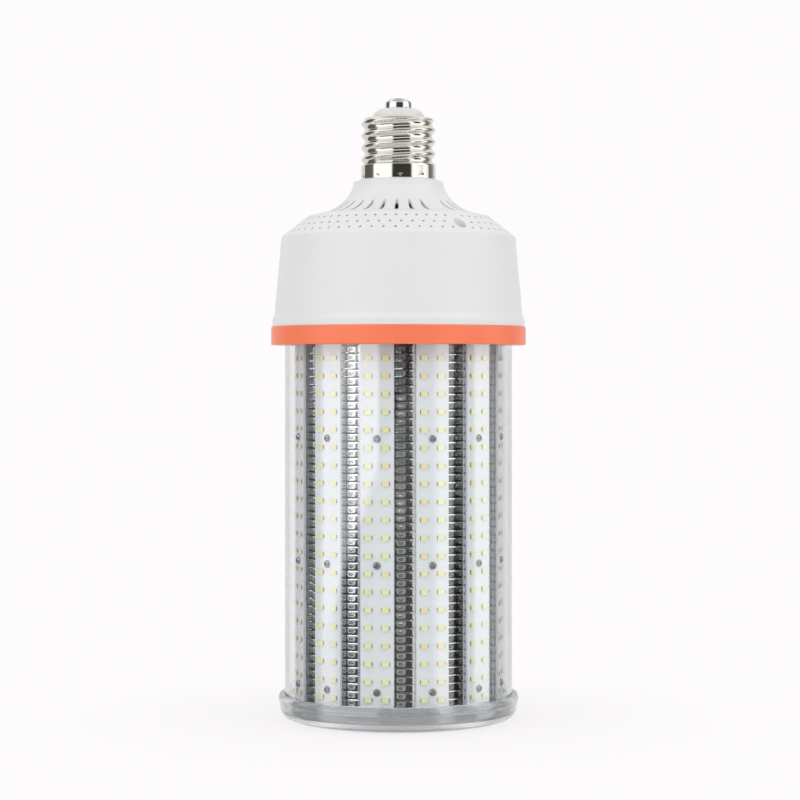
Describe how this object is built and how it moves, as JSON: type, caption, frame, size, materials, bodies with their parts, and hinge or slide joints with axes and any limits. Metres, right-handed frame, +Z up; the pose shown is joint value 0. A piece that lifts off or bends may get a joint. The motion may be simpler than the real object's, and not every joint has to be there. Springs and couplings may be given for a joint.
{
  "type": "corn led bulb",
  "caption": "Corn-style LED lamp: light strips round a finned core in a clear tube, below a vented driver housing with an inner fan and a mogul screw cap.",
  "frame": {"origin": "centre of the flat foot of the clear end cap, which the lamp stands on", "axes": "+Z up the lamp's axis to the centre contact, -Y towards the front"},
  "size_m": [0.135, 0.135, 0.329],
  "materials": {
    "clear_plastic": "clear, polished",
    "housing_white": "white, satin moulded",
    "ring_orange": "orange, satin moulded",
    "nickel_plate": "bright nickel plate",
    "cap_ceramic": "white",
    "bright_aluminium": "bright stamped sheet",
    "strip_board": "white solder mask on an aluminium core",
    "led_phosphor": "yellow phosphor",
    "fan_black": "black moulded",
    "driver_laminate": "green laminate",
    "ferrite": "dark ferrite",
    "capacitor_sleeve": "black sleeve",
    "screw_steel": "zinc plated",
    "copper_lead": "tinned copper"
  },
  "bodies": {
    "lamp": {"end_cap": "clear_plastic", "clear_tube": "clear_plastic", "trim_ring": "ring_orange", "driver_housing": "housing_white", "housing_screws": "screw_steel", "screw_shell": "nickel_plate", "cap_insulator": "cap_ceramic", "centre_contact": "nickel_plate", "top_plate": "bright_aluminium", "base_plate": "bright_aluminium", "fin_stack": "bright_aluminium", "fan_frame": "fan_black", "board_standoffs": "screw_steel", "driver_board": "driver_laminate", "board_screws": "screw_steel", "driver_transformer": "ferrite", "driver_capacitors": "capacitor_sleeve", "driver_inductor": "ferrite", "driver_heatsink": "bright_aluminium", "centre_lead": "copper_lead", "shell_lead": "copper_lead", "strip_carrier_01": "bright_aluminium", "led_strip_01": "strip_board", "strip_leds_01": "led_phosphor", "strip_carrier_02": "bright_aluminium", "led_strip_02": "strip_board", "strip_leds_02": "led_phosphor", "strip_carrier_03": "bright_aluminium", "led_strip_03": "strip_board", "strip_leds_03": "led_phosphor", "strip_carrier_04": "bright_aluminium", "led_strip_04": "strip_board", "strip_leds_04": "led_phosphor", "strip_carrier_05": "bright_aluminium", "led_strip_05": "strip_board", "strip_leds_05": "led_phosphor", "strip_carrier_06": "bright_aluminium", "led_strip_06": "strip_board", "strip_leds_06": "led_phosphor", "strip_carrier_07": "bright_aluminium", "led_strip_07": "strip_board", "strip_leds_07": "led_phosphor", "strip_carrier_08": "bright_aluminium", "led_strip_08": "strip_board", "strip_leds_08": "led_phosphor", "strip_carrier_09": "bright_aluminium", "led_strip_09": "strip_board", "strip_leds_09": "led_phosphor", "strip_carrier_10": "bright_aluminium", "led_strip_10": "strip_board", "strip_leds_10": "led_phosphor", "strip_carrier_11": "bright_aluminium", "led_strip_11": "strip_board", "strip_leds_11": "led_phosphor", "strip_carrier_12": "bright_aluminium", "led_strip_12": "strip_board", "strip_leds_12": "led_phosphor"},
    "fan_wheel": {"fan_rotor": "fan_black"}
  },
  "joints": [
    {"name": "fan_spin", "type": "hinge", "parent": "lamp", "child": "fan_wheel", "pos_m": [0, 0, 0.2129], "axis": [0, 0, 1], "continuous": true}
  ]
}
